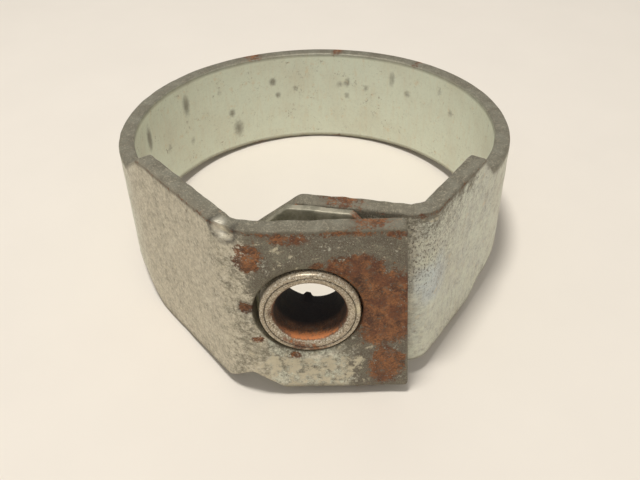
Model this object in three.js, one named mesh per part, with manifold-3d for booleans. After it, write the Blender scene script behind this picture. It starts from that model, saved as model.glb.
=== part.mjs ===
// Hose clamp: one bent steel strip closes round the hose, and its two end tabs overlap at the front.
// A collar is fixed through the inner tab and its backing plate, and passes freely through the outer tab.
// Frame in millimetres: origin at the centre of the ring, +Z along the hose, tabs towards -Y.
import * as THREE from 'three';
import { mergeVertices } from 'three/addons/utils/BufferGeometryUtils.js';
import Module from 'manifold-3d';

const wasm = await Module();
wasm.setup();

// Strip
const STRIP = 2;                    // thickness
const RING_RADIUS = 25;             // middle of the strip's thickness
const RING_HALF_WIDTH = 7.5;
const SHOULDER_HALF_WIDTH = 8.1;    // the ring widens a little from its sides to the shoulders
const TAB_HALF_WIDTH = 11.3;        // arms and tabs are wider than the ring
const HINGE_GAP = 0.5;              // between the stretches of strip that turn on each other
const DEGREE = Math.PI / 180;

// Outer end: arm and tab on the left
const OUTER_ARM_ANGLE = 51.5;       // between the arm and the X axis
const OUTER_TAB_CENTRE_Y = -29.6;
const OUTER_BEND_RADIUS = 6;
const OUTER_SHOULDER = [11.6, 16.3];    // where the strip widens, along it from the left hinge
const OUTER_TAB_END = 9.7;
const OUTER_TAB_SKEW = 3.2;         // degrees, so that the end's lower corner reaches further
const RELIEF_DEPTH = 2.3;           // shallow notch in the lower edge, at the bend
const RELIEF = [0.3, 3.4, 3.9, 6.9];    // its corners, along the strip from the bend's start

// Inner end: arm and tab on the right
const INNER_ARM_ANGLE = 55;
const INNER_ARM_LENGTH = 14.3;
const INNER_BEND_RADIUS = 2.5;
const INNER_TAB_ANGLE = 12.5;       // between the inner tab and the outer one
const INNER_TAB_LENGTH = 18.4;
const INNER_SHOULDER = [54.5, 57.5];
const INNER_CHAMFER = 6.8;          // length of the sloping corners at the inner tab's end
const INNER_SLOPE = 5.7;            // how far each corner slopes in from the long edge
const INNER_LOWER = 10;             // the inner end is a little narrower below its middle

// Collar, its backing plate and the holes they sit in
const COLLAR = { x: -0.8, z: 0.6, front: -31, radius: 5.45, bore: 3.95 };
const COLLAR_CHAMFER = 0.45;
const COLLAR_PROUD = 0.4;           // how far its back end stands out of the inner tab
const OUTER_HOLE = { x: -0.95, z: 0.35, radius: 6.1 };
const SEAT_GAP = 0.25;
const PLATE = { thickness: 0.9, halfWidth: 6.3, slope: 4.5, corner: 1.2 };
const ROUND = 64;                   // sides of a round piece
const CUT = 3;                      // how far a cutter reaches past what it cuts
const BLOCK = 30;                   // size of a cutting block

function finish(color, roughness, metalness) {
  return new THREE.MeshStandardMaterial({ color, roughness, metalness });
}

function toSolid(geometry) {
  const bare = geometry.clone();
  bare.deleteAttribute('normal');
  bare.deleteAttribute('uv');
  const merged = mergeVertices(bare, 1e-4);
  const vertProperties = new Float32Array(merged.attributes.position.array);
  const triVerts = new Uint32Array(merged.index.array);
  return new wasm.Manifold(new wasm.Mesh({ numProp: 3, vertProperties, triVerts }));
}

function toGeometry(solid) {
  const mesh = solid.getMesh();
  const geometry = new THREE.BufferGeometry();
  geometry.setAttribute('position', new THREE.BufferAttribute(mesh.vertProperties, 3));
  geometry.setIndex(new THREE.BufferAttribute(mesh.triVerts, 1));
  geometry.computeVertexNormals();
  return geometry;
}

// Walks a path made of straight steps and turns, and returns stations along the strip's middle.
// A positive turn goes anticlockwise seen from +Z.
function walk(x, y, heading, steps) {
  const stations = [{ x, y, heading, along: 0 }];
  for (const step of steps) {
    const last = stations[stations.length - 1];
    const turn = (step.turn ?? 0) * DEGREE;
    const length = step.turn ? Math.abs(turn) * step.radius : step.length;
    for (let i = 1; i <= step.parts; i++) {
      const part = i / step.parts;
      const chord = step.turn ? 2 * step.radius * Math.sin(Math.abs(turn) * part / 2) : length * part;
      const direction = last.heading + turn * part / 2;
      stations.push({
        x: last.x + chord * Math.cos(direction),
        y: last.y + chord * Math.sin(direction),
        heading: last.heading + turn * part,
        along: last.along + length * part,
      });
    }
  }
  return stations;
}

// Height of an edge at one place along the strip, straight between the corners [along, height].
function edgeHeight(corners, along) {
  let height = corners[0][1];
  for (let i = 1; i < corners.length; i++) {
    const [from, low] = corners[i - 1];
    const [to, high] = corners[i];
    const part = THREE.MathUtils.clamp((along - from) / (to - from), 0, 1);
    height += (high - low) * part;
  }
  return height;
}

// Bends a flat bar along the stations, and trims its long edges to the two outlines.
function bentStrip(stations, upper, lower) {
  const parts = stations.length - 1;
  const geometry = new THREE.BoxGeometry(1, 1, 1, parts, 1, 1);
  const position = geometry.attributes.position;
  for (let i = 0; i < position.count; i++) {
    const station = stations[Math.round((position.getX(i) + 0.5) * parts)];
    const side = Math.sign(position.getY(i)) * STRIP / 2;
    const edge = position.getZ(i) > 0 ? upper : lower;
    position.setXYZ(
      i,
      station.x - side * Math.sin(station.heading),
      station.y + side * Math.cos(station.heading),
      edgeHeight(edge, station.along),
    );
  }
  return geometry;
}

// Cylinder lying along Y.
function roundBar(radius, fromY, toY, x, z) {
  const geometry = new THREE.CylinderGeometry(radius, radius, toY - fromY, ROUND);
  geometry.translate(x, (fromY + toY) / 2, z);
  return geometry;
}

function ringStart(angle, direction) {
  return [RING_RADIUS * Math.cos(angle), RING_RADIUS * Math.sin(angle), angle + direction * Math.PI / 2];
}

const HALF_GAP_ANGLE = HINGE_GAP / 2 / RING_RADIUS;
const HALF_GAP_DEGREES = HALF_GAP_ANGLE / DEGREE;

function outerEnd() {
  const arm = OUTER_ARM_ANGLE * DEGREE;
  const ringDrop = RING_RADIUS * Math.cos(arm);
  const bendDrop = OUTER_BEND_RADIUS * (1 - Math.cos(arm));
  const armLength = (-OUTER_TAB_CENTRE_Y - ringDrop - bendDrop) / Math.sin(arm);
  const arc = 90 - OUTER_ARM_ANGLE - HALF_GAP_DEGREES;
  const bendStart = RING_RADIUS * arc * DEGREE + armLength;
  const bendEndX = armLength * Math.cos(arm) - (RING_RADIUS - OUTER_BEND_RADIUS) * Math.sin(arm);
  const stations = walk(...ringStart(Math.PI + HALF_GAP_ANGLE, 1), [
    { turn: arc, radius: RING_RADIUS, parts: 16 },
    { length: armLength, parts: 8 },
    { turn: OUTER_ARM_ANGLE, radius: OUTER_BEND_RADIUS, parts: 12 },
    { length: OUTER_TAB_END - bendEndX + CUT, parts: 16 },
  ]);
  const shoulder = [
    [0, RING_HALF_WIDTH],
    [OUTER_SHOULDER[0], SHOULDER_HALF_WIDTH],
    [OUTER_SHOULDER[1], TAB_HALF_WIDTH],
  ];
  const relief = RELIEF.map((along, i) => [
    bendStart + along,
    i === 1 || i === 2 ? RELIEF_DEPTH - TAB_HALF_WIDTH : -TAB_HALF_WIDTH,
  ]);
  const lower = [...shoulder.map(([along, height]) => [along, -height]), ...relief];
  const trim = new THREE.BoxGeometry(BLOCK, BLOCK, 4 * TAB_HALF_WIDTH);
  trim.translate(BLOCK / 2, 0, 0);
  trim.rotateY(-OUTER_TAB_SKEW * DEGREE);
  trim.translate(OUTER_TAB_END, OUTER_TAB_CENTRE_Y, 0);
  const { radius, x, z } = OUTER_HOLE;
  const hole = roundBar(radius, OUTER_TAB_CENTRE_Y - CUT, OUTER_TAB_CENTRE_Y + CUT, x, z);
  return toSolid(bentStrip(stations, shoulder, lower)).subtract(toSolid(hole)).subtract(toSolid(trim));
}

// The hole that the collar sits in, through the inner tab and the plate.
function collarSeat() {
  const { radius, front, x, z } = COLLAR;
  return toSolid(roundBar(radius + SEAT_GAP, front - CUT, 0, x, z));
}

function innerPath() {
  return walk(...ringStart(Math.PI / 2 - HALF_GAP_ANGLE, -1), [
    { turn: INNER_ARM_ANGLE - 180 + HALF_GAP_DEGREES, radius: RING_RADIUS, parts: 48 },
    { length: INNER_ARM_LENGTH, parts: 8 },
    { turn: -INNER_ARM_ANGLE - INNER_TAB_ANGLE, radius: INNER_BEND_RADIUS, parts: 8 },
    { length: INNER_TAB_LENGTH, parts: 24 },
  ]);
}

function innerEnd() {
  const stations = innerPath();
  const end = stations[stations.length - 1].along;
  const side = RING_RADIUS * Math.PI / 2;
  const outline = (halfWidth) => [
    [side, RING_HALF_WIDTH],
    [INNER_SHOULDER[0], SHOULDER_HALF_WIDTH],
    [INNER_SHOULDER[1], halfWidth],
    [end - INNER_CHAMFER, halfWidth],
    [end, halfWidth - INNER_SLOPE],
  ];
  const upper = outline(TAB_HALF_WIDTH);
  const lower = outline(INNER_LOWER).map(([along, height]) => [along, -height]);
  return toSolid(bentStrip(stations, upper, lower)).subtract(collarSeat());
}

function backArc() {
  const stations = walk(...ringStart(Math.PI / 2 + HALF_GAP_ANGLE, 1), [
    { turn: 90 - 2 * HALF_GAP_DEGREES, radius: RING_RADIUS, parts: 36 },
  ]);
  const straight = [[0, RING_HALF_WIDTH], [1, RING_HALF_WIDTH]];
  return bentStrip(stations, straight, straight.map(([along, height]) => [along, -height]));
}

// Flat plate lying on the front of the inner tab, its left corners sloping as the tab's do.
function backingPlate() {
  const { thickness, halfWidth, slope, corner } = PLATE;
  const right = [
    new THREE.Vector2(halfWidth - corner, -INNER_LOWER),
    new THREE.Vector2(halfWidth, corner - INNER_LOWER),
    new THREE.Vector2(halfWidth, TAB_HALF_WIDTH - corner),
    new THREE.Vector2(halfWidth - corner, TAB_HALF_WIDTH),
  ];
  const left = [
    new THREE.Vector2(slope - halfWidth, TAB_HALF_WIDTH),
    new THREE.Vector2(-halfWidth, TAB_HALF_WIDTH - slope),
    new THREE.Vector2(-halfWidth, slope - INNER_LOWER),
    new THREE.Vector2(slope - halfWidth, -INNER_LOWER),
  ];
  const outline = new THREE.Shape([...right, ...left]);
  const geometry = new THREE.ExtrudeGeometry(outline, { depth: thickness, bevelEnabled: false });
  geometry.rotateX(Math.PI / 2);
  geometry.translate(0, -STRIP / 2 - SEAT_GAP, 0);
  geometry.rotateZ(-INNER_TAB_ANGLE * DEGREE);
  geometry.translate(COLLAR.x, innerTabCentreY(), 0);
  return toSolid(geometry).subtract(collarSeat());
}

// Y of the middle of the inner tab's thickness at the collar's axis.
function innerTabCentreY() {
  const stations = innerPath();
  const end = stations[stations.length - 1];
  return end.y + (COLLAR.x - end.x) * Math.tan(end.heading);
}

// Short tube, its back end dressed off parallel to the inner tab.
function collar() {
  const { radius, bore, front } = COLLAR;
  const stock = front + BLOCK / 2;
  const profile = [
    [bore + COLLAR_CHAMFER, front],
    [radius - COLLAR_CHAMFER / 2, front],
    [radius, front + COLLAR_CHAMFER / 2],
    [radius, stock],
    [bore, stock],
    [bore, front + COLLAR_CHAMFER],
    [bore + COLLAR_CHAMFER, front],
  ];
  const tube = new THREE.LatheGeometry(profile.map(([r, y]) => new THREE.Vector2(r, y)), ROUND);
  tube.translate(COLLAR.x, 0, COLLAR.z);
  const surplus = new THREE.BoxGeometry(BLOCK, BLOCK, BLOCK);
  surplus.translate(0, BLOCK / 2 + STRIP / 2 + COLLAR_PROUD, 0);
  surplus.rotateZ(-INNER_TAB_ANGLE * DEGREE);
  surplus.translate(COLLAR.x, innerTabCentreY(), 0);
  return toSolid(tube).subtract(toSolid(surplus));
}

function addNode(group, name, geometry, material) {
  const mesh = new THREE.Mesh(geometry, material);
  mesh.name = name;
  group.add(mesh);
}

const zinc = [0x9c9d8c, 0.5, 0.7];
const clamp = new THREE.Group();
addNode(clamp, 'band_inner_end', toGeometry(innerEnd()), finish(...zinc));
addNode(clamp, 'band_back_arc', backArc(), finish(...zinc));
addNode(clamp, 'band_outer_end', toGeometry(outerEnd()), finish(0x8a7a66, 0.6, 0.6));
addNode(clamp, 'backing_plate', toGeometry(backingPlate()), finish(0x77776c, 0.6, 0.6));
addNode(clamp, 'collar', toGeometry(collar()), finish(0x6f6c63, 0.5, 0.7));

export default clamp;
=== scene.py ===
import math

import bmesh
import bpy
import numpy as np
from bpy.props import FloatProperty, FloatVectorProperty, PointerProperty
from bpy.types import Operator, Panel, PropertyGroup
from mathutils import Matrix, Vector, noise


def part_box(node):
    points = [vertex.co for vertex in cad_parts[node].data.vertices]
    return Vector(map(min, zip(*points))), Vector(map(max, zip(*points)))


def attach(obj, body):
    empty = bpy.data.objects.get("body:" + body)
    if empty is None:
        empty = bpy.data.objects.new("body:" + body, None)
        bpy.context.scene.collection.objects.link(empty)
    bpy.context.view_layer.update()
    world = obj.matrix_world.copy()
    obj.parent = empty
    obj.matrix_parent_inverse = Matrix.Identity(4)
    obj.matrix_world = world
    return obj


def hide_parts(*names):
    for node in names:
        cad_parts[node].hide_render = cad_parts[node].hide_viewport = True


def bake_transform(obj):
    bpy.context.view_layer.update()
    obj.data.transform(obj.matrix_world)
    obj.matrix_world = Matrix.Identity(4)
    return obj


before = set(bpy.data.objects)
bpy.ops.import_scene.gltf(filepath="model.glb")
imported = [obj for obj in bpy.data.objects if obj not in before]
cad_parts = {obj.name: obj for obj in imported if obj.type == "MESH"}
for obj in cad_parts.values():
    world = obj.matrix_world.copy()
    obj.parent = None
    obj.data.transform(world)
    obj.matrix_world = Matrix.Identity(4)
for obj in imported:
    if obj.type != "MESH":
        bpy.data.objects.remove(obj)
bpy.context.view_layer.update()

bl_info = {
    "name": "Hose Clamp Maker",
    "version": (1, 0, 0),
    "blender": (4, 5, 0),
    "location": "3D View > Sidebar > Hose Clamp",
    "description": "Bends the strip of an aged steel hose clamp and fits its backing plate and collar",
    "category": "Add Mesh",
}

MM = 0.001
BACK_LOW, BACK_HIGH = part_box("band_back_arc")
OUTER_LOW, OUTER_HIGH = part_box("band_outer_end")
INNER_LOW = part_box("band_inner_end")[0]
PLATE_LOW, PLATE_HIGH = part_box("backing_plate")
COLLAR_LOW, COLLAR_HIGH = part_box("collar")
THICKNESS = 2 * MM
SEAM_ANGLE = math.radians(135)      # where the two halves of the strip meet, at the back left

# The collar, in millimetres, and the holes in the inner tab and the plate that it sits in.
COLLAR_X = (COLLAR_LOW.x + COLLAR_HIGH.x) / 2 / MM
COLLAR_Z = (COLLAR_LOW.z + COLLAR_HIGH.z) / 2 / MM
COLLAR_RADIUS = (COLLAR_HIGH.x - COLLAR_LOW.x) / 2 / MM
SEAT_RADIUS = COLLAR_RADIUS + 0.3


def linear(*channels):
    """Scene-linear colour of a paint-chart colour given from 0 to 255."""
    shares = [channel / 255 for channel in channels]
    return tuple(share / 12.92 if share <= 0.04 else ((share + 0.055) / 1.055) ** 2.4 for share in shares)


def length(name, description, default):
    return FloatProperty(name=name, description=description, default=default, unit="LENGTH", precision=5)


def angle(name, description, default):
    return FloatProperty(name=name, description=description, default=math.radians(default), unit="ROTATION")


def colour(name, description, default):
    return FloatVectorProperty(name=name, description=description, default=default, subtype="COLOR", size=3)


class StripSizes(PropertyGroup):
    """Sizes of the bent strip."""

    ring_radius: length("Ring radius", "Middle of the strip's thickness", BACK_HIGH.y - THICKNESS / 2)
    ring_half_width: length("Ring half width", "Half the strip's width round the hose", BACK_HIGH.z)
    tab_half_width: length("Tab half width", "Half the width of the arms and tabs", OUTER_HIGH.z)
    flare: length("Flare", "How much the ring has widened where its shoulders start", 0.6 * MM)
    rounding: length("Rounding", "Radius of the sheared edges", 0.28 * MM)
    outer_arm_angle: angle("Outer arm angle", "Between the left arm and the cross axis", 51.5)
    outer_bend_radius: length("Outer bend", "Middle radius of the bend into the outer tab", 6 * MM)
    outer_skew: angle("Outer skew", "Lean of the outer tab's cut end", 3.2)
    inner_arm_angle: angle("Inner arm angle", "Between the right arm and the cross axis", 55)
    inner_arm_length: length("Inner arm length", "Straight run of the right arm", 14.3 * MM)
    inner_bend_radius: length("Inner bend", "Middle radius of the bend into the inner tab", 2.5 * MM)
    inner_tab_angle: angle("Inner tab angle", "Between the two tabs", 12.5)
    inner_tab_length: length("Inner tab length", "Straight run of the inner tab", 18.4 * MM)
    inner_lower: length("Inner lower half", "The inner end is narrower below its middle", -INNER_LOW.z)
    hole_radius: length("Hole radius", "Clearance hole in the outer tab", 5.88 * MM)
    hole_offset: length("Hole offset", "How far the hole's middle lies left of the ring's", 0.95 * MM)
    hole_height: length("Hole height", "Height of the hole's middle", 0.35 * MM)


class CollarSizes(PropertyGroup):
    """Sizes of the collar and of the plate behind it."""

    bore_radius: length("Bore radius", "Inside of the collar", 3.95 * MM)
    chamfer: length("Chamfer", "Countersink at the mouth of the bore", 0.5 * MM)
    rim: length("Rim", "Rounding of the collar's outer edge", 0.3 * MM)
    plate_thickness: length("Plate thickness", "Backing plate", 0.9 * MM)
    plate_slope: length("Plate slope", "Sloping corners at the plate's free end", 4.5 * MM)


class Finishes(PropertyGroup):
    """Colours of the aged finishes, and the colours used for painted shade and painted light."""

    plating: colour("Plating", "Passivated zinc", linear(220, 224, 205))
    plating_warm: colour("Warm plating", "Handled and dulled zinc", linear(200, 191, 168))
    plating_blue: colour("Blue plating", "Iridescent passivate", linear(204, 216, 222))
    # Also the colour of the painted highlight on the collar.
    plating_cream_and_highlight: colour("Cream plating", "Chalky zinc left on worn steel", linear(214, 204, 176))
    # White grains of zinc salts, also used as the colour of the painted highlights on the strip.
    chalk_and_highlight: colour("Zinc salts", "White grains in old zinc", linear(236, 230, 212))
    steel: colour("Grey steel", "Rubbed zinc with the steel showing", linear(134, 130, 112))
    rim: colour("Sheared edge", "Oxidised cut steel", linear(118, 112, 96))
    worn: colour("Worn steel", "Bare dark steel", linear(96, 85, 72))
    rust_dark: colour("Dark rust", "Old scale", linear(78, 50, 36))
    rust_deep: colour("Deep rust", "Thick red-brown rust", linear(98, 54, 38))
    rust_bright: colour("Bright rust", "Crust that catches the light", linear(170, 112, 68))
    # Real rust colour made brighter as painted light, for where light falls low into the collar's mouth.
    lit_rust_colour: colour("Fresh rust", "Orange rust low in the collar's mouth", linear(216, 134, 78))
    # Painted shade: near-black put down the bore, in the groove on the collar's face and round the rims of
    # the dents.
    shade_black: colour("Black oxide", "Inside of the bore", linear(26, 23, 26))
    collar: colour("Collar", "Turned steel", linear(184, 169, 144))


class StudioSettings(PropertyGroup):
    """Camera and light."""

    camera_place: FloatVectorProperty(
        name="Camera", description="Where the camera stands", default=(0.43 * MM, -85.91 * MM, 51.4 * MM),
        subtype="TRANSLATION", size=3)
    pitch: angle("Pitch", "How far the camera looks down", 36.71)
    roll: angle("Roll", "Lean of the camera", -1.23)
    lens: FloatProperty(name="Lens", description="Focal length", default=39.375, unit="CAMERA")
    key: FloatProperty(name="Lights", description="Strength of the lights", default=1.0, min=0)
    sky: FloatProperty(name="Sky", description="Strength of the surrounding light", default=0.38, min=0)
    floor: colour("Floor", "Pale paper", linear(238, 230, 218))


# ---------------------------------------------------------------- the strip, flat and bent

class Route:
    """Middle line of the strip seen from above, as straight runs and bends; lengths in millimetres."""

    def __init__(self, x, y, heading, outward):
        self.marks = [(0.0, x, y, heading, 0.0)]
        self.outward = outward

    @property
    def end(self):
        return self.marks[-1][0]

    def _grow(self, span, curvature):
        along, x, y, heading, _ = self.marks[-1]
        self.marks[-1] = (along, x, y, heading, curvature)
        x, y, heading = self._step(self.marks[-1], span)
        self.marks.append((along + span, x, y, heading, 0.0))
        return self

    def run(self, span):
        return self._grow(span, 0.0)

    def bend(self, turn, radius):
        return self._grow(abs(turn) * radius, math.copysign(1 / radius, turn))

    @staticmethod
    def _step(mark, span):
        _, x, y, heading, curvature = mark
        turn = curvature * span
        chord = span if abs(turn) < 1e-9 else 2 * math.sin(turn / 2) / curvature
        middle = heading + turn / 2
        return x + chord * math.cos(middle), y + chord * math.sin(middle), heading + turn

    def place(self, along, out, height):
        """Point of the bent strip, in metres, from its place on the flat blank in millimetres."""
        mark = next((m for m in reversed(self.marks) if along >= m[0] - 1e-9), self.marks[0])
        x, y, heading = self._step(mark, along - mark[0])
        out *= self.outward
        return Vector((x - out * math.sin(heading), y + out * math.cos(heading), height)) * MM


def outer_route(sizes):
    """From the seam through the left of the ring, the left arm and the outer tab."""
    radius, bend = sizes.ring_radius / MM, sizes.outer_bend_radius / MM
    arm = sizes.outer_arm_angle
    drop = -(OUTER_LOW.y + THICKNESS / 2) / MM - radius * math.cos(arm) - bend * (1 - math.cos(arm))
    route = Route(radius * math.cos(SEAM_ANGLE), radius * math.sin(SEAM_ANGLE), SEAM_ANGLE + math.pi / 2, -1)
    route.bend(math.radians(270) - arm - SEAM_ANGLE, radius)
    route.run(drop / math.sin(arm))
    route.bend(arm, bend)
    bend_end = route.marks[-1]
    reach = (OUTER_HIGH.x / MM) - bend_end[1]
    return route.run(reach)


def inner_route(sizes):
    """From the seam through the back and right of the ring, the right arm and the inner tab."""
    radius = sizes.ring_radius / MM
    route = Route(radius * math.cos(SEAM_ANGLE), radius * math.sin(SEAM_ANGLE), SEAM_ANGLE - math.pi / 2, 1)
    route.bend(-(SEAM_ANGLE + math.pi / 2 - sizes.inner_arm_angle), radius)
    route.run(sizes.inner_arm_length / MM)
    route.bend(-sizes.inner_arm_angle - sizes.inner_tab_angle, sizes.inner_bend_radius / MM)
    return route.run(sizes.inner_tab_length / MM)


def softened(corners, radius, kept=0, steps=3):
    """The open outline with its inner corners rounded, apart from the first few that are kept sharp."""
    points = [Vector(c) for c in corners[:kept + 1]]
    for i in range(kept + 1, len(corners) - 1):
        here, before, after = (Vector(corners[k]) for k in (i, i - 1, i + 1))
        start = here + (before - here).normalized() * min(radius, (before - here).length * 0.45)
        finish = here + (after - here).normalized() * min(radius, (after - here).length * 0.45)
        for k in range(steps + 1):
            t = k / steps
            points.append((1 - t) ** 2 * start + 2 * t * (1 - t) * here + t * t * finish)
    return points + [Vector(corners[-1])]


def half_hole(centre, radius, start, sides=48):
    """Half of an oval hole's edge, anticlockwise from the start angle."""
    turns = [start + math.pi * k / sides for k in range(sides + 1)]
    return [Vector((centre[0] + radius[0] * math.cos(turn), centre[1] + radius[1] * math.sin(turn)))
            for turn in turns]


def cut_sheet(upper, lower, hole, thickness):
    """Flat sheet with a hole. upper and lower are the outline's halves, left to right, that start and end
    at the height of the hole's middle."""
    sheet = bmesh.new()
    over = list(upper) + half_hole(*hole, 0)
    under = list(reversed(lower)) + half_hole(*hole, math.pi)
    corners = {}
    for loop in (over, under):
        verts = []
        for x, z in loop:
            key = (round(x, 5), round(z, 5))
            if key not in corners:
                corners[key] = sheet.verts.new((x, -thickness / 2, z))
            if not verts or verts[-1] != corners[key]:
                verts.append(corners[key])
        if verts[0] == verts[-1]:
            verts.pop()
        sheet.faces.new(verts)
    grown = bmesh.ops.extrude_face_region(sheet, geom=sheet.faces[:])
    moved = [part for part in grown["geom"] if isinstance(part, bmesh.types.BMVert)]
    bmesh.ops.translate(sheet, verts=moved, vec=(0, thickness, 0))
    bmesh.ops.recalc_face_normals(sheet, faces=sheet.faces[:])
    return sheet


def refine(sheet, rounding, columns, rows, seam=True):
    """Rounds the sheet's rims, apart from the one at the seam, and cuts its faces into an even mesh."""
    def is_rim(edge):
        flat = [abs(face.normal.y) > 0.9 for face in edge.link_faces]
        at_seam = seam and all(vert.co.x < 1e-4 for vert in edge.verts)
        return len(flat) == 2 and flat[0] != flat[1] and not at_seam

    rims = [edge for edge in sheet.edges if is_rim(edge)]
    bmesh.ops.bevel(sheet, geom=rims, offset=rounding, segments=3, profile=0.5, affect="EDGES",
                    clamp_overlap=True)
    for axis, cuts in ((0, columns), (2, rows)):
        for cut in cuts:
            spot, facing = Vector((0, 0, 0)), Vector((0, 0, 0))
            spot[axis], facing[axis] = cut, 1
            everything = sheet.verts[:] + sheet.edges[:] + sheet.faces[:]
            bmesh.ops.bisect_plane(sheet, geom=everything, dist=1e-4, plane_co=spot, plane_no=facing)
    bmesh.ops.remove_doubles(sheet, verts=sheet.verts[:], dist=2e-4)
    bmesh.ops.triangulate(sheet, faces=[face for face in sheet.faces if len(face.verts) > 4])
    return sheet


def spread(start, stop, step):
    """Evenly spaced cuts between two places."""
    count = max(1, round((stop - start) / step))
    return [start + (stop - start) * i / count for i in range(count + 1)]


def bump(distance, reach):
    """1 at no distance or less, falling smoothly to 0 at the reach."""
    t = min(1.0, max(0.0, 1 - distance / reach))
    return t * t * (3 - 2 * t)


def rim_amount(out, from_edge):
    """1 on the cut edge between the strip's two faces, fading just inside the edge of either face."""
    return 1.0 if abs(out) < 0.95 else 0.8 * bump(from_edge - 0.25, 0.4)


def oval(point, centre, size):
    """Distance from the centre in units of the size, along and across."""
    return math.hypot((point[0] - centre[0]) / size[0], (point[1] - centre[1]) / size[1])


def rough(point, scale, seed):
    """Smooth random value about 0 at a point."""
    return noise.noise(Vector(point) * scale + Vector((seed, seed * 1.7, -seed)))


class Marks:
    """Wear, painted shade and painted highlights on a blank as named amounts from 0 to 1 at each vertex."""

    # Three of these are painted light and shade: the painted highlights, the painted shade, and rust
    # brightened as painted light low in the collar's mouth.
    NAMES = ("rust", "worn", "cream", "rim", "warm", "blue", "spot", "pitted", "painted_highlight", "painted_shade", "lit_rust")

    def __init__(self, count):
        self.values = {name: np.zeros(count) for name in self.NAMES}

    def add(self, name, index, amount):
        self.values[name][index] = min(1.0, max(self.values[name][index], amount))

    def store(self, mesh, places):
        for name, amounts in self.values.items():
            if amounts.max() > 0:
                layer = mesh.attributes.new("mark_" + name, "FLOAT", "POINT")
                layer.data.foreach_set("value", amounts.astype(np.float32))
        layer = mesh.attributes.new("flat_place", "FLOAT_VECTOR", "POINT")
        layer.data.foreach_set("vector", np.array(places, np.float32).ravel())


def finish_mesh(name, blank, marks, places, material):
    """Object from the blank, smooth over its rounded rims and sharp at real corners."""
    mesh = bpy.data.meshes.new(name)
    for face in blank.faces:
        face.smooth = True
    for edge in blank.edges:
        edge.smooth = edge.calc_face_angle(0) < math.radians(38)
    blank.to_mesh(mesh)
    blank.free()
    marks.store(mesh, places)
    mesh.materials.append(material)
    piece = bpy.data.objects.new(name, mesh)
    bpy.context.scene.collection.objects.link(piece)
    return piece


# ---------------------------------------------------------------- materials

class Wire:
    """One shader socket; arithmetic on it adds Math nodes."""

    def __init__(self, bench, socket):
        self.bench = bench
        self.socket = socket

    def math(self, operation, *others):
        sockets = {i: v for i, v in enumerate((self, *others))}
        return self.bench.node("Math", {"operation": operation}, sockets)

    def __add__(self, other):
        return self.math("ADD", other)

    def __sub__(self, other):
        return self.math("SUBTRACT", other)

    def __rsub__(self, other):
        return self.bench.node("Math", {"operation": "SUBTRACT"}, {0: other, 1: self})

    def __mul__(self, other):
        return self.math("MULTIPLY", other)

    __radd__ = __add__
    __rmul__ = __mul__

    def larger(self, other):
        return self.math("MAXIMUM", other)

    def step(self, low, high):
        """0 below low, 1 above high, smooth between."""
        settings = {"interpolation_type": "SMOOTHSTEP"}
        return self.bench.node("MapRange", settings, {"Value": self, "From Min": low, "From Max": high})


class Bench:
    """A material under construction."""

    def __init__(self, name):
        self.material = bpy.data.materials.new(name)
        self.material.use_nodes = True
        self.tree = self.material.node_tree
        self.shader = self.tree.nodes["Principled BSDF"]

    def plug(self, socket, value):
        if isinstance(value, Wire):
            self.tree.links.new(value.socket, socket)
        elif socket.type == "RGBA":
            socket.default_value = (*value[:3], 1)
        else:
            socket.default_value = value

    def node(self, kind, settings=None, sockets=None, out=0):
        made = self.tree.nodes.new("ShaderNode" + kind)
        for key, value in (settings or {}).items():
            setattr(made, key, value)
        for key, value in (sockets or {}).items():
            self.plug(made.inputs[key], value)
        return Wire(self, made.outputs[out])

    def mix(self, factor, under, over, blend="MIX"):
        """Colour over another one by a factor."""
        settings = {"data_type": "RGBA", "blend_type": blend, "clamp_factor": True}
        return self.node("Mix", settings, {0: factor, 6: under, 7: over}, out=2)

    def mark(self, name):
        return self.node("Attribute", {"attribute_name": "mark_" + name}, out=2)

    def place(self):
        return self.node("Attribute", {"attribute_name": "flat_place"}, out=1)

    def stretched(self, place, scale):
        return self.node("VectorMath", {"operation": "MULTIPLY"}, {0: place, 1: scale})

    def noise(self, place, scale, detail=3.0, roughness=0.55):
        sockets = {"Vector": place, "Scale": scale, "Detail": detail, "Roughness": roughness}
        return self.node("TexNoise", {}, sockets)

    def shade(self, **sockets):
        for name, value in sockets.items():
            self.plug(self.shader.inputs[name.replace("_", " ").title()], value)
        return self.material

    def relief(self, height, strength, distance):
        return self.node("Bump", {}, {"Height": height, "Strength": strength, "Distance": distance})


def rust_colour(bench, colours, place):
    """Rust from dark scale to bright crust, with deeper patches and ashen grains."""
    grain = bench.noise(place, 4.2, 4.0, 0.75)
    blotch = bench.noise(place, 0.8, 4.0, 0.6)
    shade = (grain * 0.6 + blotch * 0.4).step(0.38, 0.64)
    colour = bench.mix(shade, colours.rust_dark, colours.rust_bright)
    deep = bench.noise(place, 0.45, 3.0, 0.6).step(0.45, 0.62)
    colour = bench.mix(deep * 0.55, colour, colours.rust_deep)
    ashen = ((1 - grain) * 0.5 + bench.noise(place, 1.1, 3.0) * 0.5).step(0.54, 0.64)
    return bench.mix(ashen * 0.6, colour, colours.steel)


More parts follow.
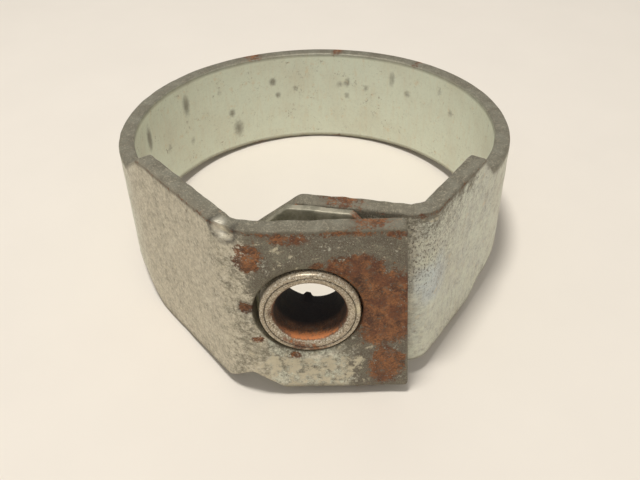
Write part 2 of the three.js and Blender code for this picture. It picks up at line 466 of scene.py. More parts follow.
def aged_zinc(colours):
    """Passivated zinc on the strip: satin where whole, dark steel and rust where worn through, with painted
    shade round the rims of the dents and painted highlights.
    """
    bench = Bench("aged_zinc")
    place = bench.place()
    blotch = bench.noise(place, 0.16, 3.0)
    cloud = bench.noise(place, 0.6, 4.0, 0.6)
    speckle = bench.noise(place, 2.4, 4.0, 0.7)
    grit = bench.noise(place, 6.5, 2.0, 0.7)
    streaks = bench.noise(bench.stretched(place, (1.6, 1.0, 0.25)), 1.5, 3.0)
    rust, worn, rim, warmth = (bench.mark(name) for name in ("rust", "worn", "rim", "warm"))

    warm = (warmth + (cloud - 0.5) * 0.7).step(0.2, 0.85)
    colour = bench.mix(warm, colours.plating, colours.plating_warm)
    blue = (bench.mark("blue") + (cloud - 0.5) * 0.9).step(0.15, 1.0)
    colour = bench.mix(blue * 0.8, colour, colours.plating_blue)
    colour = bench.mix((blotch - 0.45) * 1.3, colour, colours.plating_warm)
    colour = bench.mix((streaks - 0.5) * 1.2, colour, colours.plating_cream_and_highlight)
    grain = warmth * 0.42 + 0.1
    handled = (cloud * 0.6 + streaks * 0.4).step(0.44, 0.62) * warmth
    colour = bench.mix(handled * 0.4, colour, colours.steel)
    dark_grains = (grit * 0.4 + speckle * 0.6).step(0.46, 0.68)
    colour = bench.mix(dark_grains * grain, colour, colours.worn)
    pale_grains = ((1 - speckle) * 0.6 + (1 - grit) * 0.4).step(0.5, 0.66)
    colour = bench.mix(pale_grains * grain, colour, colours.chalk_and_highlight)

    slits = bench.noise(bench.stretched(place, (5.6, 1.0, 2.6)), 1.0, 3.0, 0.7)
    pitted = (slits + bench.mark("pitted") * 0.11).step(0.62, 0.72) * bench.mark("pitted").step(0.02, 0.3)
    colour = bench.mix(pitted * 0.8, colour, colours.worn)
    spot = (bench.mark("spot") + (speckle - 0.5) * 0.5).step(0.1, 0.9)
    colour = bench.mix(spot * 0.7, colour, colours.worn)

    worn_mask = (worn + (cloud - 0.5) * 1.1 + (speckle - 0.5) * 0.8 + (grit - 0.5) * 0.9).step(0.18, 0.76)
    rubbed = (cloud * 0.35 + grit * 0.65).step(0.42, 0.6)
    dark_steel = bench.mix(rubbed, colours.worn, colours.steel)
    dark_steel = bench.mix((1 - grit).step(0.58, 0.7) * 0.5, dark_steel, colours.plating_cream_and_highlight)
    colour = bench.mix(worn_mask, colour, dark_steel)
    salts = bench.noise(place, 0.95, 4.0, 0.6)
    cream = bench.mark("cream") * 0.56 + (salts - 0.5) * 3.0 + (cloud - 0.5) * 1.2 + (grit - 0.5) * 0.9
    cream = cream.step(0.28, 0.78)
    colour = bench.mix(cream * 0.9, colour, colours.plating_cream_and_highlight)

    rubbed_rim = (speckle * 0.5 + grit * 0.5).step(0.46, 0.68)
    rim_colour = bench.mix(rubbed_rim * 0.6, colours.rim, colours.plating_warm)
    colour = bench.mix(rim * (cloud * 0.5 + 0.7), colour, rim_colour)
    rust_mask = (rust + (cloud - 0.5) * 1.2 + (speckle - 0.5) * 1.2 + (grit - 0.5) * 0.9).step(0.34, 0.74)
    colour = bench.mix(rust_mask * 0.92, colour, rust_colour(bench, colours, place))
    # Painted shade round the rims of the dents.
    colour = bench.mix(bench.mark("painted_shade"), colour, colours.shade_black)
    # Painted highlights: a pale colour mixed in where they are marked.
    painted_highlight = bench.mark("painted_highlight")
    colour = bench.mix(painted_highlight, colour, colours.chalk_and_highlight)

    matte = (worn_mask * 0.1 + rim * 0.15 + spot * 0.15 + rust_mask * 0.35).larger(0.0)
    roughness = matte + 0.4 + (speckle - 0.5) * 0.25 + warmth * 0.12 - painted_highlight * 0.25
    metal = 0.2 - rust_mask * 0.2 - spot * 0.1 - cream * 0.1 + rim * 0.25 + painted_highlight * 0.6
    fine = bench.noise(place, 5.0, 3.0, 0.6)
    pits = (1 - bench.noise(place, 3.4, 2.0)).step(0.58, 0.7)
    height = fine * 0.35 + speckle * (worn_mask * 0.8 + rust_mask * 1.6 + 0.4) - pits * 0.4 + streaks * 0.15
    height = height - pitted * 0.8
    return bench.shade(
        base_color=colour, roughness=roughness, metallic=metal, normal=bench.relief(height, 0.45, 0.00012))


def turned_steel(colours):
    """The collar: turned steel gone grey, rust in the mouth of the bore brightened as painted light low
    down, painted shade in black further in, and a painted highlight.
    """
    bench = Bench("turned_steel")
    place = bench.place()
    cloud = bench.noise(place, 0.7, 4.0, 0.6)
    speckle = bench.noise(place, 3.2, 4.0, 0.7)
    glint = bench.noise(place, 6.0, 2.0, 0.6)
    colour = bench.mix((speckle * 0.6 + glint * 0.4).step(0.46, 0.66) * 0.85, colours.collar, colours.worn)
    colour = bench.mix((1 - glint).step(0.52, 0.66) * 0.8, colour, colours.chalk_and_highlight)
    rust = (bench.mark("rust") + (cloud - 0.5) * 0.8 + (speckle - 0.5) * 0.4).step(0.42, 0.66)
    colour = bench.mix(rust * 0.9, colour, rust_colour(bench, colours, place))
    # Rust low in the bore's mouth, brightened as painted light.
    lit_rust = (bench.mark("lit_rust") + (speckle - 0.5) * 1.8 + (cloud - 0.5) * 1.2).step(0.3, 0.9)
    colour = bench.mix(lit_rust * 0.85, colour, colours.lit_rust_colour)
    # Painted shade down the bore and in the groove of the front face.
    colour = bench.mix(bench.mark("painted_shade"), colour, colours.shade_black)
    # Painted highlight: a pale colour mixed in where it is marked.
    painted_highlight = bench.mark("painted_highlight")
    colour = bench.mix(painted_highlight, colour, colours.plating_cream_and_highlight)
    roughness = 0.4 + rust * 0.4 + (speckle - 0.5) * 0.3 - painted_highlight * 0.2
    metal = 0.42 - rust * 0.42 - bench.mark("painted_shade") * 0.3 + painted_highlight * 0.4
    height = speckle * (rust + 0.6) + glint * 0.3
    return bench.shade(
        base_color=colour, roughness=roughness, metallic=metal, normal=bench.relief(height, 0.4, 0.0001))


def plate_steel(colours):
    """The backing plate: dark steel with rust creeping in from its edges."""
    bench = Bench("plate_steel")
    place = bench.place()
    cloud = bench.noise(place, 0.5, 4.0, 0.6)
    speckle = bench.noise(place, 2.6, 4.0, 0.7)
    colour = bench.mix(cloud.step(0.4, 0.66) * 0.6, colours.steel, colours.plating_warm)
    colour = bench.mix((1 - speckle).step(0.55, 0.72) * 0.6, colour, colours.plating_warm)
    rust = (bench.mark("rust") + (cloud - 0.5) * 0.9 + (speckle - 0.5) * 0.5).step(0.45, 0.65)
    colour = bench.mix(rust * 0.9, colour, rust_colour(bench, colours, place))
    roughness = 0.5 + rust * 0.35 + (speckle - 0.5) * 0.2
    metal = 0.35 - rust * 0.35
    return bench.shade(
        base_color=colour, roughness=roughness, metallic=metal, normal=bench.relief(speckle, 0.4, 0.0001))


def material(name, make):
    """The named material, made the first time that it is asked for."""
    return bpy.data.materials.get(name) or make(bpy.context.scene.clamp_finishes)


# ---------------------------------------------------------------- pieces

def edge_wave(height, along, seed, amount=0.07):
    """Small unevenness of a sheared edge."""
    wave = rough((along, 0.3 * height, 0), 0.35, seed) + 0.6 * rough((along, height, 0), 1.1, seed + 3)
    return height + wave * amount * 2


def fade_in(along):
    """0 at the seam, so that the two halves of the strip meet there, and 1 from 4 mm on."""
    return min(1.0, along / 4)


def waver(place, scale, seed):
    """Faint unevenness of the strip's faces. It only goes inward, so the strip keeps to its size."""
    return fade_in(place[0]) * (rough(place, scale, seed) - 0.9) * 0.05


class HalfStrip:
    """One half of the strip on the flat: distance from the seam, out and height, in millimetres."""

    def __init__(self, route, ring_end, sizes):
        self.route = route
        self.arm_start, self.bend_start, self.bend_end = (mark[0] for mark in route.marks[1:4])
        self.tab = self.low = sizes.tab_half_width / MM     # above the middle and below it
        self.shoulder = [self.arm_start + step for step in self.SHOULDER]
        ring_run = abs(ring_end - SEAM_ANGLE) * sizes.ring_radius / MM
        self.stations = (0, ring_run, *self.shoulder)
        ring = sizes.ring_half_width / MM
        self.ring_widths = (ring, ring, ring + sizes.flare / MM)

    def edge(self, side, width):
        """Outline from the seam's middle to the end of the shoulder, above or below."""
        widths = (*self.ring_widths, width)
        return [(0, self.hole[1]), *[(station, side * half) for station, half in zip(self.stations, widths)]]

    def build(self, name, sizes):
        """Cuts the blank, presses its dents, paints its wear and bends it along its route."""
        blank = self.blank(THICKNESS / MM, sizes.rounding / MM)
        marks = Marks(len(blank.verts))
        places = []
        for i, vert in enumerate(blank.verts):
            along, out, height = vert.co
            places.append((along * -self.route.outward, out, height))
            self.paint(marks, i, along, out, height)
            vert.co = self.route.place(*self.shape(along, out, height))
        bmesh.ops.recalc_face_normals(blank, faces=blank.faces[:])
        return finish_mesh(name, blank, marks, places, material("aged_zinc", aged_zinc))

    def paint(self, marks, i, along, out, height):
        """Wear that both halves have, and then the half's own."""
        widths = (*self.ring_widths, self.tab if height > 0 else self.low)
        from_edge = float(np.interp(along, self.stations, widths)) - abs(height)
        outer = bump(abs(out - 1), 0.9)         # 1 on the outer face, 0 from the middle inwards
        rim = rim_amount(out, from_edge)
        on_arm = bump(self.arm_start - along, self.ARM_FADE) * outer
        marks.add("rim", i, rim)
        marks.add("worn", i, 0.22 * outer * bump(from_edge, 2.5))
        marks.add("pitted", i, 0.16 * outer)
        from_top = self.tab - height
        marks.add("rust", i, 0.42 * outer * on_arm * bump(abs(from_top - 0.3), self.TOP_RUST))
        marks.add("spot", i, 0.7 * outer * on_arm * bump(abs(from_top - 0.35), 0.5))
        for centre, size, amount in self.SPOTS:
            marks.add("spot", i, (1 - outer) * amount * bump(oval((along, height), centre, size), 1.7))
        self.paint_own(marks, i, along, out, height, outer, rim, on_arm)


class OuterHalf(HalfStrip):
    """Left of the ring, left arm and outer tab."""

    SHOULDER = (-4.95, -0.25)           # start and end of the widening, from the start of the arm
    ARM_FADE = 14                       # how far the arm's wear runs out over the ring
    TOP_RUST = 0.4                      # reach of the rust along the arm's upper edge
    NOTCH = ((0.3, 0), (3.4, 2.3), (3.9, 2.3), (6.9, 0))    # from the start of the bend, above the edge
    NICK_SIZE = (1.6, 1.3)
    DIMPLE_SIZE = (1.0, 1.0)
    # Patches on the tab: right of and above the hole's middle, half width and half height, amount.
    RUST = (
        ((8.2, 0.5), (4.6, 6.5), 1.0), ((4.9, 5.6), (4.3, 2.8), 0.95), ((8.6, -8.0), (2.6, 4.0), 0.85),
        ((-5.8, 7.4), (1.8, 2.4), 0.85), ((-1.6, 9.9), (2.6, 1.0), 0.75), ((1.4, 5.8), (1.6, 1.5), 0.6),
        ((-5.5, -3.8), (0.8, 0.6), 0.7), ((-1.6, -6.3), (0.9, 0.6), 0.8), ((9.0, 10.2), (1.6, 0.6), 0.6),
    )
    # Spots inside the ring: place, half width and half height, amount.
    SPOTS = (
        ((4.7, 3.8), (0.8, 1.9), 0.9), ((15.9, 3.4), (0.9, 1.9), 1.0), ((4.2, -2.6), (0.6, 0.7), 0.6),
        ((10.1, -1.1), (0.6, 0.8), 0.6), ((17.6, -3.6), (1.3, 1.3), 0.7), ((12.6, -4.4), (0.6, 0.8), 0.5),
    )

    def __init__(self, sizes):
        super().__init__(outer_route(sizes), math.pi, sizes)
        self.hole = (self.bend_end - self.route.marks[3][1] - sizes.hole_offset / MM, sizes.hole_height / MM)
        self.radius = sizes.hole_radius / MM
        self.lean = math.tan(sizes.outer_skew)
        self.nick_and_glint = (self.bend_start + 1.7, self.tab - 0.7)
        self.dimple = (self.hole[0] - 6.55, 0.9)

    def end_at(self, height):
        """Where the skewed end lies at a height."""
        return self.route.end - self.tab * self.lean - height * self.lean

    def outline(self):
        """Upper and lower half of the outline."""
        notch = [(self.bend_start + step, rise - self.tab) for step, rise in self.NOTCH]
        for side, cuts in ((1, []), (-1, notch)):
            end = (self.end_at(side * self.tab), side * self.tab)
            yield [*self.edge(side, self.tab), *cuts, end, (self.end_at(self.hole[1]), self.hole[1])]

    def blank(self, thickness, rounding):
        upper, lower = (softened(half, 0.5, kept=1) for half in self.outline())
        sheet = cut_sheet(upper, lower, (self.hole, (self.radius, self.radius)), thickness)
        finer = self.bend_start - 1
        columns = spread(0, finer, 0.45)[1:] + spread(finer, self.route.end, 0.34)[1:]
        return refine(sheet, rounding, columns, spread(-self.tab, self.tab, 0.42))

    def shape(self, along, out, height):
        """The dish round the hole, the dimple, the nick and the unevenness."""
        from_hole = math.hypot(along - self.hole[0], height - self.hole[1]) - self.radius
        dish = bump(from_hole, 1.1) * 0.14 - bump(abs(from_hole - 1.1), 0.7) * 0.05
        dent = bump(oval((along, height), self.dimple, self.DIMPLE_SIZE), 1) * 0.4
        scoop = bump(oval((along, height), self.nick_and_glint, self.NICK_SIZE), 1)
        share = out * 0.5 + 0.5
        moved = out + waver((along, out, height), 0.5, 4) - share * (dish + dent + 0.8 * scoop)
        shaken = (edge_wave(height, along, 7) - height) * fade_in(along)
        near_edge = bump(self.tab - abs(height), 2.0)
        raised = height + shaken * (near_edge if along > self.shoulder[1] else 0.4) - scoop * 0.5
        return along, moved, max(-self.tab, min(self.tab, raised))

    def paint_own(self, marks, i, along, out, height, outer, rim, on_arm):
        marks.add("warm", i, max(0.3 * outer, 0.85 * on_arm) if along < self.bend_end else 0.5)
        # Darker towards the bend.
        marks.add("worn", i, 0.34 * outer * bump(self.bend_start + 3.5 - along, 6))
        fleck = (self.arm_start + 7.0, -2.8)
        marks.add("spot", i, outer * bump(oval((along, height), fleck, (0.4, 1.2)), 1))
        right, above = along - self.hole[0], height - self.hole[1]
        marks.add("rust", i, 0.62 * rim * bump(abs(right - 7), 5))
        self.paint_tab(marks, i, (right, above), outer, bump(self.bend_end - 0.2 - along, 3.4) * outer)
        self.paint_dents(marks, i, (along, height), out, outer)

    def paint_tab(self, marks, i, place, outer, on_tab):
        """Bare steel, zinc salts, rust and spots on the tab, and a painted highlight below the hole; the
        place is from the hole's middle.
        """
        right, above = place
        beside = 0.5 - 0.25 * bump(right + 5.5, 2)
        marks.add("worn", i, on_tab * max(0.85 * bump(3.5 - above, 4.5), beside, 0.9 * bump(6.0 - right, 5)))
        marks.add("blue", i, on_tab * 0.5 * bump(oval(place, (-6.6, -1.0), (1.6, 3.5)), 1))
        marks.add("cream", i, on_tab * 0.95 * bump(above + 7.4, 2.2) * bump(right - 3.6, 4))
        marks.add("cream", i, on_tab * 0.8 * bump(oval(place, (-7.0, -5.6), (2.6, 2.6)), 1))
        marks.add("cream", i, outer * 0.9 * bump(oval(place, (5.0, -7.2), (2.6, 2.6)), 1))
        for centre, size, amount in self.RUST:
            marks.add("rust", i, outer * amount * bump(oval(place, centre, size) - 0.45, 0.75))
        marks.add("rust", i, outer * on_tab * 0.7 * bump(abs(above - 10.4), 0.6))
        marks.add("spot", i, outer * bump(abs(oval(place, (5.6, -8.4), (0.9, 0.9)) - 0.8), 0.3))
        marks.add("spot", i, outer * 0.75 * bump(oval(place, (8.2, 9.6), (2.4, 1.8)), 1))
        # Painted highlight on an arc just outside the hole's lower edge.
        under_hole = bump(abs(math.atan2(above, right) + math.pi / 2 - 0.2), 0.5)
        glint = bump(abs(math.hypot(right, above) - self.radius - 0.8), 0.25) * under_hole
        marks.add("painted_highlight", i, outer * 0.9 * glint)

    def paint_dents(self, marks, i, place, out, outer):
        """The rusty dimple beside the hole and the nick at the top of the bend, each with a ring of painted
        shade round its rim, and a painted highlight in the nick.
        """
        pit = oval(place, self.dimple, self.DIMPLE_SIZE)
        marks.add("rust", i, outer * bump(pit - 0.4, 0.7))
        # Painted shade round the dimple's rim.
        marks.add("painted_shade", i, outer * 0.55 * bump(abs(pit - 0.75), 0.35))
        scoop = oval(place, self.nick_and_glint, self.NICK_SIZE)
        # Painted shade round the nick's rim.
        marks.add("painted_shade", i, outer * 0.7 * bump(abs(scoop - 0.95), 0.3))
        marks.add("rust", i, outer * 0.6 * bump(scoop, 0.9) * bump(self.nick_and_glint[0] + 0.9 - place[0], 0.6))
        # Painted highlight on the left of the nick, on the outer face.
        if out > 0.2:
            highlight_centre = (self.nick_and_glint[0] - 0.4, self.nick_and_glint[1] + 0.2)
            marks.add("painted_highlight", i, bump(oval(place, highlight_centre, (1.0, 1.1)), 1))


class InnerHalf(HalfStrip):
    """Back and right of the ring, right arm and inner tab."""

    SHOULDER = (0.2, 3.2)
    ARM_FADE = 6
    TOP_RUST = 0.45
    CORNER = (6.8, 5.7)                 # slope at the free end: along, and across from the edge
    RUSTY_RIM = ((9.5, 3), (23.5, 1.8), (37.6, 1.2))        # middle and reach of each stretch
    # Spots inside the ring: place, half width and half height, amount.
    SPOTS = (
        ((12.4, 3.1), (0.65, 0.75), 1.0), ((13.2, 0.7), (0.5, 0.6), 0.85), ((16.3, 1.6), (0.5, 0.6), 0.7),
        ((4.5, -0.8), (0.6, 0.7), 1.0), ((5.5, -3.8), (1.0, 1.6), 0.8), ((24.2, 2.2), (0.7, 0.6), 0.7),
        ((25.5, 2.6), (0.5, 0.9), 0.9), ((25.4, 0.3), (0.5, 0.6), 0.8), ((28.8, 1.9), (0.5, 0.6), 0.7),
        ((33.5, 4.3), (0.6, 1.5), 0.7), ((36.5, 2.4), (0.6, 0.6), 0.8), ((43.2, 4.8), (0.5, 0.6), 0.6),
        ((46.0, 2.3), (0.6, 0.7), 0.7), ((2.4, 3.4), (0.5, 0.6), 0.5),
    )

    def __init__(self, sizes):
        super().__init__(inner_route(sizes), 0, sizes)
        self.low = sizes.inner_lower / MM
        slant = math.cos(sizes.inner_tab_angle)
        self.lean = math.tan(sizes.inner_tab_angle)
        self.hole = (self.bend_end + (self.route.marks[3][1] - COLLAR_X) / slant, COLLAR_Z)
        self.hole_size = (SEAT_RADIUS / slant, SEAT_RADIUS)

    def outline(self):
        """Upper and lower half of the outline."""
        end = self.route.end
        for side, width in ((1, self.tab), (-1, self.low)):
            slope = [(end - self.CORNER[0], side * width), (end, side * (width - self.CORNER[1]))]
            yield [*self.edge(side, width), *slope, (end, self.hole[1])]

    def blank(self, thickness, rounding):
        upper, lower = (softened(half, 0.45, kept=1) for half in self.outline())
        sheet = cut_sheet(upper, lower, (self.hole, self.hole_size), thickness)
        columns = spread(0, self.arm_start, 0.45)[1:] + spread(self.arm_start, self.route.end, 0.4)[1:]
        return refine(sheet, rounding, columns, spread(-self.tab, self.tab, 0.45))

    def shape(self, along, out, height):
        """The hole's wall in line with the collar, the hammered top of the tab and the unevenness."""
        from_hole = math.hypot(along - self.hole[0], height - self.hole[1]) - SEAT_RADIUS
        along -= bump(from_hole, 1.2) * out * self.lean
        on_top = bump(self.bend_end - along, 1) * bump(self.tab - height, 1.6)
        hammered = on_top * (0.16 * rough((along, out, 0), 0.9, 2) - 0.06)
        out += waver((along, out, height), 0.45, 9) + hammered * 0.6
        limit = self.low if height < 0 else self.tab
        shaken = (edge_wave(height, along, 11) - height) * fade_in(along)
        height += shaken * bump(limit - abs(height), 2) + hammered
        return along, out, max(-limit, min(limit, height))

    def paint_own(self, marks, i, along, out, height, outer, rim, on_arm):
        marks.add("warm", i, max(0.42 * outer, 0.8 * bump(self.bend_end - along, 2)))
        beside_tab = bump(oval((along, height), (self.bend_start, 1.5), (5.5, 6.5)), 1)
        marks.add("blue", i, on_arm * max(0.35, beside_tab))
        marks.add("worn", i, outer * 0.7 * bump(self.bend_end + 1 - along, 2))
        top_wear = bump(self.tab - height, 5.5) * bump(self.shoulder[1] + 4 - along, 6)
        marks.add("worn", i, on_arm * 0.55 * top_wear)
        near_bend = bump(self.bend_start - along, 11)
        marks.add("pitted", i, on_arm * max(near_bend * bump(5.0 - height, 9), 0.35 * bump(6.0 - height, 9)))
        rusty = max(bump(abs(along - middle), reach) for middle, reach in self.RUSTY_RIM)
        marks.add("rust", i, rim * max(0.7 * rusty, 0.66 * bump(abs(along - self.bend_end - 7), 5)))


class CLAMP_OT_outer_strip(Operator):
    """Outer half of the strip: left of the ring, left arm and outer tab with its clearance hole"""

    bl_idname = "clamp.outer_strip"
    bl_label = "Outer strip"

    def execute(self, context):
        sizes = context.scene.clamp_strip
        piece = OuterHalf(sizes).build("strip_outer_half", sizes)
        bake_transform(piece)
        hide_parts("band_outer_end")
        return {"FINISHED"}


class CLAMP_OT_inner_strip(Operator):
    """Inner half of the strip: back and right of the ring, right arm and inner tab"""

    bl_idname = "clamp.inner_strip"
    bl_label = "Inner strip"

    def execute(self, context):
        sizes = context.scene.clamp_strip
        piece = InnerHalf(sizes).build("strip_inner_half", sizes)
        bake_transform(piece)
        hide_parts("band_inner_end", "band_back_arc")
        return {"FINISHED"}


def plate_blank(half, thickness, slope, slant):
    """The plate on the flat; half is half its length."""
    top, bottom = PLATE_HIGH.z / MM, PLATE_LOW.z / MM
    corner = 1.2                        # small cut corners at the bend's end

    def outline(edge):
        inward = -1 if edge > 0 else 1
        return [(-half, COLLAR_Z), (-half, edge + inward * slope), (slope - half, edge),
                (half - corner, edge), (half, edge + inward * corner), (half, COLLAR_Z)]

    upper, lower = (softened(outline(edge), 0.4) for edge in (top, bottom))
    hole = ((0, COLLAR_Z), (SEAT_RADIUS / slant, SEAT_RADIUS))
    sheet = cut_sheet(upper, lower, hole, thickness)
    return refine(sheet, 0.16, spread(-half, half, 0.5), spread(bottom, top, 0.5), seam=False)


class CLAMP_OT_plate(Operator):
    """Backing plate between the two tabs"""

    bl_idname = "clamp.backing_plate"
    bl_label = "Backing plate"

    def execute(self, context):
        sizes = context.scene.clamp_collar
        lean = context.scene.clamp_strip.inner_tab_angle
        thickness = sizes.plate_thickness / MM
        span = (PLATE_HIGH.x - PLATE_LOW.x) / MM - thickness * math.sin(lean)
        half = span / math.cos(lean) / 2
        blank = plate_blank(half, thickness, sizes.plate_slope / MM, math.cos(lean))
        middle = (PLATE_LOW.x + PLATE_HIGH.x) / 2
        depth = (PLATE_LOW.y + PLATE_HIGH.y) / 2
        turned = Matrix.Translation((middle, depth, 0)) @ Matrix.Rotation(-lean, 4, "Z")
        turned @= Matrix.Scale(MM, 4)
        marks = Marks(len(blank.verts))
        places = []
        for i, vert in enumerate(blank.verts):
            along, out, height = vert.co
            places.append((along, out, height))
            marks.add("rust", i, 0.6 * bump(abs(along - half), 3.5) + 0.1)
            ripple = rough((along, out, height), 0.7, 21) * 0.05
            limit = (PLATE_HIGH.z if height > 0 else -PLATE_LOW.z) / MM
            shaken = max(-limit, min(limit, edge_wave(height, along, 15, 0.05)))
            near_hole = bump(math.hypot(along, height - COLLAR_Z) - SEAT_RADIUS, 1.2)
            vert.co = turned @ Vector((along + near_hole * out * math.tan(lean), out + ripple, shaken))
        bmesh.ops.recalc_face_normals(blank, faces=blank.faces[:])
        steel = material("plate_steel", plate_steel)
        piece = finish_mesh("backing_plate_steel", blank, marks, places, steel)
        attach(piece, "collar_side")
        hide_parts("backing_plate")
        return {"FINISHED"}


def arc(centre, radius, start, stop, count):
    """Points of an arc between two angles in degrees."""
    turns = [math.radians(start + (stop - start) * k / count) for k in range(count + 1)]
    return [(centre[0] + radius * math.cos(turn), centre[1] + radius * math.sin(turn)) for turn in turns]


def collar_profile(bore, chamfer, land, rim, depth):
    """The collar's wall once round, from the front face: radius, distance behind the front end or, where the
    third value is true, behind the slanted back end."""
    groove = [(land + 0.25, 0.0), (land + 0.33, 0.12), (land + 0.41, 0.0)]
    outside = arc((COLLAR_RADIUS - rim, rim), rim, -90, 0, 4)
    outside += [(COLLAR_RADIUS, y) for y in spread(rim + 0.5, depth - 0.8, 0.5)]
    back = arc((COLLAR_RADIUS - 0.2, -0.2), 0.2, 0, 90, 3) + arc((bore + 0.25, -0.25), 0.25, 90, 180, 3)
    inside = [(bore, y) for y in reversed(spread(chamfer + 0.5, depth - 0.9, 0.4))]
    mouth = [(bore, chamfer), (bore + chamfer * 0.45, chamfer * 0.42), (land, 0.02)]
    profile = [(r, y, False) for r, y in groove + outside]
    profile += [(r, y, True) for r, y in back]
    return profile + [(r, y, False) for r, y in inside + mouth]


def turn_collar(profile, front, middle, lean):
    """Mesh of the turned wall, and each vertex's radius, depth behind the front end and angle."""
    blank = bmesh.new()
    loops, spots = [], []
    sides = 144
    for k in range(sides):
        turn = 2 * math.pi * k / sides
        loops.append([])
        for radius, y, at_back in profile:
            right, up = radius * math.cos(turn), radius * math.sin(turn)
            dressed = middle - right * lean
            depth = dressed + y if at_back else min(front + y, dressed - 0.3)
            loops[-1].append(blank.verts.new((COLLAR_X + right, depth, COLLAR_Z + up)))
            spots.append((radius, depth - front, turn))
    count = len(profile)
    for k in range(sides):
        here, there = loops[k], loops[(k + 1) % sides]
        for j in range(count):
            blank.faces.new((here[j], here[(j + 1) % count], there[(j + 1) % count], there[j]))
    bmesh.ops.recalc_face_normals(blank, faces=blank.faces[:])
    return blank, spots


def towards(turn, middle, reach):
    """1 at the middle angle, falling to 0 at the reach to either side of it."""
    return bump(abs(math.remainder(turn - middle, 2 * math.pi)), reach)


def paint_collar(marks, i, spot, bore, land):
    """Painted shade in black down the bore and in the front face's groove, orange rust low in its mouth
    brightened as painted light, a rusty lower left rim and a painted highlight at the right.
    """
    radius, depth, turn = spot
    low_side = towards(turn, -math.pi / 2, 1.7)
    left_side = towards(turn, math.pi, 1.2)
    in_bore = bump(abs(radius - bore), 0.3)
    # Painted shade: black deeper down the bore, and near the mouth apart from its low side.
    marks.add("painted_shade", i, in_bore * 0.96 * bump(3.2 - depth, 1.6))
    marks.add("painted_shade", i, in_bore * 0.9 * (1 - low_side) * bump(0.9 - depth, 0.7))
    marks.add("rust", i, in_bore * 0.95)
    # Real rust low in the mouth, brightened as painted light.
    marks.add("lit_rust", i, in_bore * low_side * bump(depth - 0.6, 1.6))
    low_rust = 0.6 * low_side * bump(abs(depth), 0.7)
    marks.add("rust", i, low_rust + 0.5 * left_side * bump(radius - bore - 0.4, 0.8))
    # Painted highlight on the collar's outer edge at the right.
    nick_and_glint = towards(turn, 0.12, 0.24) * bump(abs(radius - COLLAR_RADIUS), 1.1)
    marks.add("painted_highlight", i, nick_and_glint * bump(depth, 0.5))
    # Painted shade in the groove on the front face.
    marks.add("painted_shade", i, 0.6 * bump(abs(radius - land - 0.33), 0.12) * bump(depth, 0.4))


class CLAMP_OT_collar(Operator):
    """Collar through both tabs, turned with a countersunk bore and a slanted back end"""

    bl_idname = "clamp.collar"
    bl_label = "Collar"

    def execute(self, context):
        sizes = context.scene.clamp_collar
        lean = math.tan(context.scene.clamp_strip.inner_tab_angle)
        front, back = COLLAR_LOW.y / MM, COLLAR_HIGH.y / MM
        bore, chamfer, rim = sizes.bore_radius / MM, sizes.chamfer / MM, sizes.rim / MM
        land = bore + chamfer + 0.12        # where the flat front face starts
        middle = back - COLLAR_RADIUS * lean
        profile = collar_profile(bore, chamfer, land, rim, middle - front)
        blank, spots = turn_collar(profile, front, middle, lean)
        marks = Marks(len(blank.verts))
        places = []
        for i, vert in enumerate(blank.verts):
            places.append(tuple(vert.co))
            paint_collar(marks, i, spots[i], bore, land)
            worn = max(0.0, rough(places[i], 0.9, 31) * 0.04)
            burr = bump(oval((vert.co.x, vert.co.z), (COLLAR_X - 0.3, COLLAR_Z - bore), (0.62, 0.8)), 1)
            burr = min(0.55, 1.3 * burr * bump(back - vert.co.y - 1.0, 1.4))
            turn = spots[i][2]
            vert.co -= Vector((math.cos(turn), 0, math.sin(turn))) * (worn + burr)
            vert.co *= MM
        piece = finish_mesh("turned_collar", blank, marks, places, material("turned_steel", turned_steel))
        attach(piece, "collar_side")
        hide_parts("collar")
        return {"FINISHED"}


# ---------------------------------------------------------------- studio

def paper(colour_value):
    """Matt paper with a faint mottle."""
    bench = Bench("pale_paper")
    place = bench.node("TexCoord", out=3)
    mottle = bench.noise(place, 60.0, 3.0)
    darker = tuple(c * 0.94 for c in colour_value)
    return bench.shade(base_color=bench.mix(mottle, colour_value, darker), roughness=0.9)


def lay_floor(strip, colour_value):
    """Floor just under the clamp's lowest places: the outer arm's lower edge and the ring's back."""
    route = outer_route(strip)
    rest = route.place(route.marks[1][0], 1, -strip.tab_half_width / MM)
    back = Vector((0, BACK_HIGH.y, BACK_LOW.z))
    tilt = math.atan2(back.z - rest.z, back.y - rest.y)
    mesh = bpy.data.meshes.new("studio_floor")
    plane = bmesh.new()
    bmesh.ops.create_grid(plane, x_segments=8, y_segments=8, size=3.0)
    plane.to_mesh(mesh)
    plane.free()
    mesh.materials.append(paper(colour_value))
    floor = bpy.data.objects.new("studio_floor", mesh)
    clearance = Vector((0, 0, 0.02 * MM))
    floor.matrix_world = Matrix.Translation(back - clearance) @ Matrix.Rotation(tilt, 4, "X")
    bpy.context.scene.collection.objects.link(floor)


def area_light(name, place, size, power, tint):
    """Round light that points at the clamp."""
    lamp = bpy.data.lights.new(name, "AREA")
    lamp.shape = "DISK"
    lamp.size = size
    lamp.energy = power
    lamp.color = tint
    thing = bpy.data.objects.new(name, lamp)
    thing.location = place
    thing.rotation_mode = "QUATERNION"
    thing.rotation_quaternion = (-Vector(place)).to_track_quat("-Z", "Y")
    bpy.context.scene.collection.objects.link(thing)


def light_sky(strength):
    """Even, slightly warm light from all round."""
    world = bpy.data.worlds.new("soft_sky")
    bpy.context.scene.world = world
    world.use_nodes = True
    sky = world.node_tree.nodes["Background"]
    sky.inputs["Color"].default_value = (1.0, 0.98, 0.95, 1)
    sky.inputs["Strength"].default_value = strength


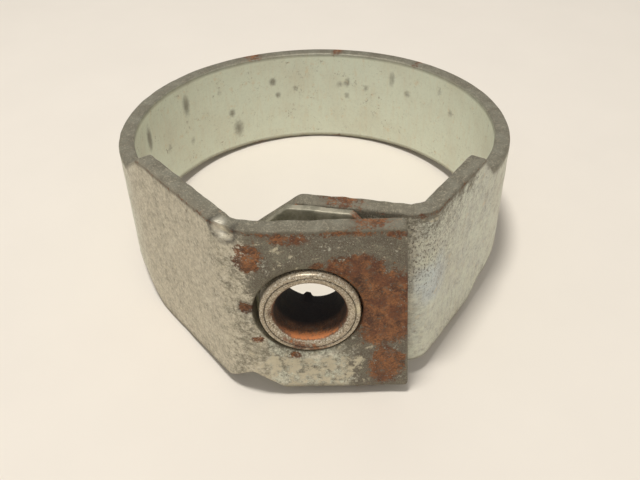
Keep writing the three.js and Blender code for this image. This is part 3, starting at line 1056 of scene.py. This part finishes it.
def set_camera(settings):
    """Camera in front of the clamp and above it."""
    lens = bpy.data.cameras.new("camera")
    lens.lens = settings.lens
    lens.sensor_width = 36
    lens.clip_start = 0.005
    camera = bpy.data.objects.new("camera", lens)
    turn = Matrix.Rotation(math.pi / 2 - settings.pitch, 4, "X") @ Matrix.Rotation(settings.roll, 4, "Z")
    camera.matrix_world = Matrix.Translation(settings.camera_place) @ turn
    bpy.context.scene.collection.objects.link(camera)
    bpy.context.scene.camera = camera


class CLAMP_OT_studio(Operator):
    """Pale floor that the clamp rests on, soft light and the camera"""

    bl_idname = "clamp.studio"
    bl_label = "Studio"

    def execute(self, context):
        settings = context.scene.clamp_studio
        lay_floor(context.scene.clamp_strip, settings.floor)
        area_light("overhead", (-0.05, -0.075, 0.42), 0.08, 1.29 * settings.key, (1.0, 0.98, 0.95))
        area_light("fill", (-0.05, -0.5, 0.36), 0.5, 0.2 * settings.key, (1.0, 0.98, 0.96))
        light_sky(settings.sky)
        context.scene.view_settings.view_transform = "Standard"
        set_camera(settings)
        return {"FINISHED"}


class CLAMP_PT_sidebar(Panel):
    """Lists the clamp's pieces"""

    bl_label = "Hose Clamp"
    bl_idname = "CLAMP_PT_sidebar"
    bl_space_type = "VIEW_3D"
    bl_region_type = "UI"
    bl_category = "Hose Clamp"

    def draw(self, context):
        for step in STEPS:
            self.layout.operator(step.bl_idname, text=step.bl_label)


GROUPS = {
    "clamp_strip": StripSizes,
    "clamp_collar": CollarSizes,
    "clamp_finishes": Finishes,
    "clamp_studio": StudioSettings,
}
STEPS = (CLAMP_OT_studio, CLAMP_OT_outer_strip, CLAMP_OT_inner_strip, CLAMP_OT_plate, CLAMP_OT_collar)


def register():
    for kind in (*GROUPS.values(), *STEPS, CLAMP_PT_sidebar):
        bpy.utils.register_class(kind)
    for name, kind in GROUPS.items():
        setattr(bpy.types.Scene, name, PointerProperty(type=kind))


def unregister():
    for name in GROUPS:
        delattr(bpy.types.Scene, name)
    for kind in reversed((*GROUPS.values(), *STEPS, CLAMP_PT_sidebar)):
        bpy.utils.unregister_class(kind)


def main():
    register()
    bpy.ops.clamp.studio()
    bpy.ops.clamp.outer_strip()
    bpy.ops.clamp.inner_strip()
    bpy.ops.clamp.backing_plate()
    bpy.ops.clamp.collar()


if __name__ == "__main__":
    main()
